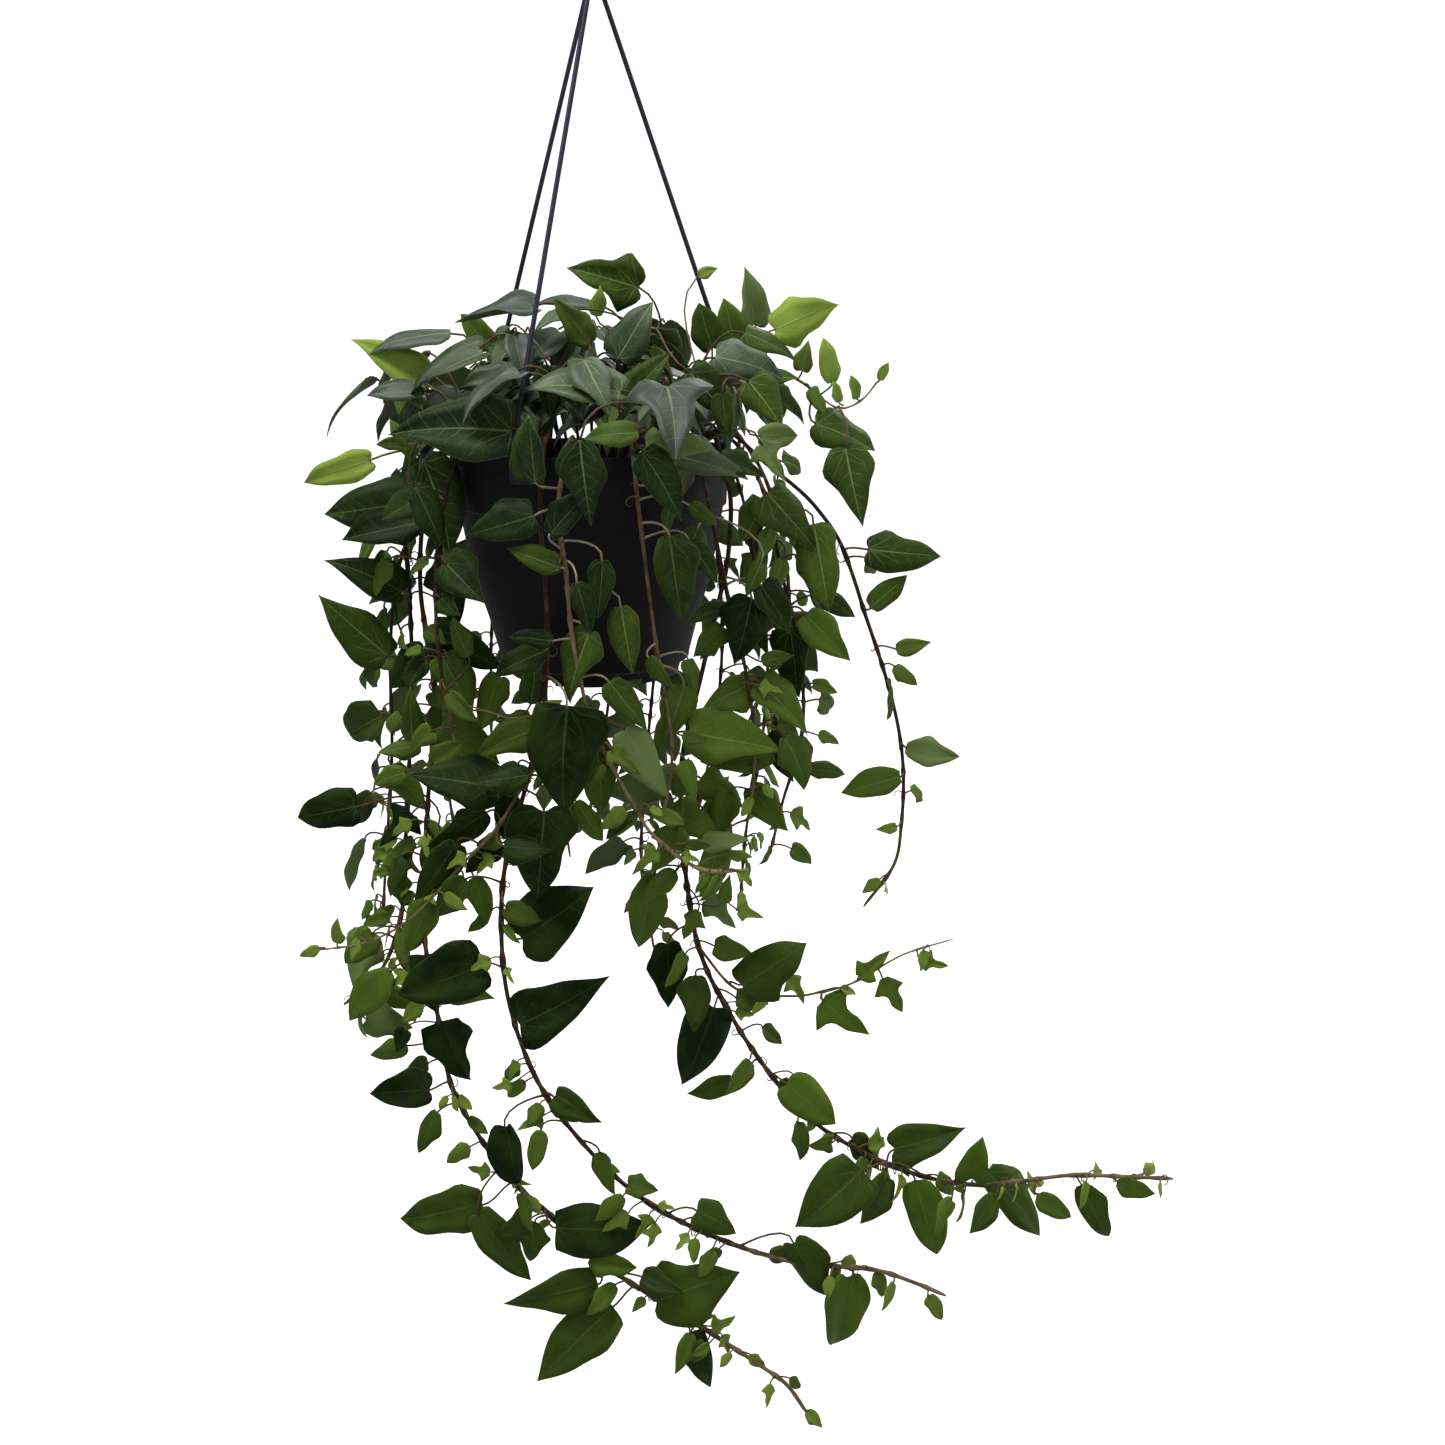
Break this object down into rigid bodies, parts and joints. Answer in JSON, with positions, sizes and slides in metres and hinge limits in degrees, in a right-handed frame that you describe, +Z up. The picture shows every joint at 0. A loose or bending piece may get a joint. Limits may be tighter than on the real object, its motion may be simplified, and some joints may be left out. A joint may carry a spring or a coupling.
{
  "type": "potted english ivy",
  "caption": "Trailing ivy with long leafy stems in a tapered hanging pot, held by a hook on slender rods.",
  "frame": {"origin": "inner crown of the hanger's hook, where it rests on the rail that carries it", "axes": "+Z up along the hanger, +X to the viewer's right in the picture, +Y away from the viewer"},
  "size_m": [0.6122, 0.3167, 1.0179],
  "materials": {
    "pot_plastic": "satin charcoal plastic",
    "hanger_plastic": "smooth dark grey plastic",
    "peat": "crumbly peat",
    "foliage": "satin leaf",
    "young_foliage": "satin leaf"
  },
  "bodies": {
    "root": {"hanger_hook": "hanger_plastic", "hanger_rod_front_left": "hanger_plastic", "hanger_rod_rear_left": "hanger_plastic", "hanger_rod_right": "hanger_plastic", "pot": "pot_plastic", "runner_right": "young_foliage", "soil": "peat", "stem_back_left": "foliage", "stem_back_long": "foliage", "stem_back_middle": "foliage", "stem_back_right": "foliage", "stem_crown_far_left": "foliage", "stem_crown_far_right": "foliage", "stem_crown_front": "foliage", "stem_crown_front_left": "foliage", "stem_crown_front_right": "foliage", "stem_crown_high_back": "foliage", "stem_crown_high_left": "foliage", "stem_crown_high_rear": "foliage", "stem_crown_high_right": "foliage", "stem_crown_left": "foliage", "stem_crown_rear": "foliage", "stem_crown_rear_left": "foliage", "stem_crown_rear_right": "foliage", "stem_crown_right": "foliage", "stem_crown_top": "foliage", "stem_front_long": "foliage", "stem_front_right": "foliage", "stem_front_tan": "foliage", "stem_left_back": "foliage", "stem_left_front": "foliage", "stem_left_long": "foliage", "stem_left_outer": "foliage", "stem_left_rear": "foliage", "stem_rear_left": "foliage", "stem_right_front": "foliage", "stem_right_inner": "foliage", "stem_right_long": "foliage", "stem_right_middle": "foliage", "stem_right_outer": "foliage", "stem_right_rear": "foliage"}
  },
  "joints": []
}
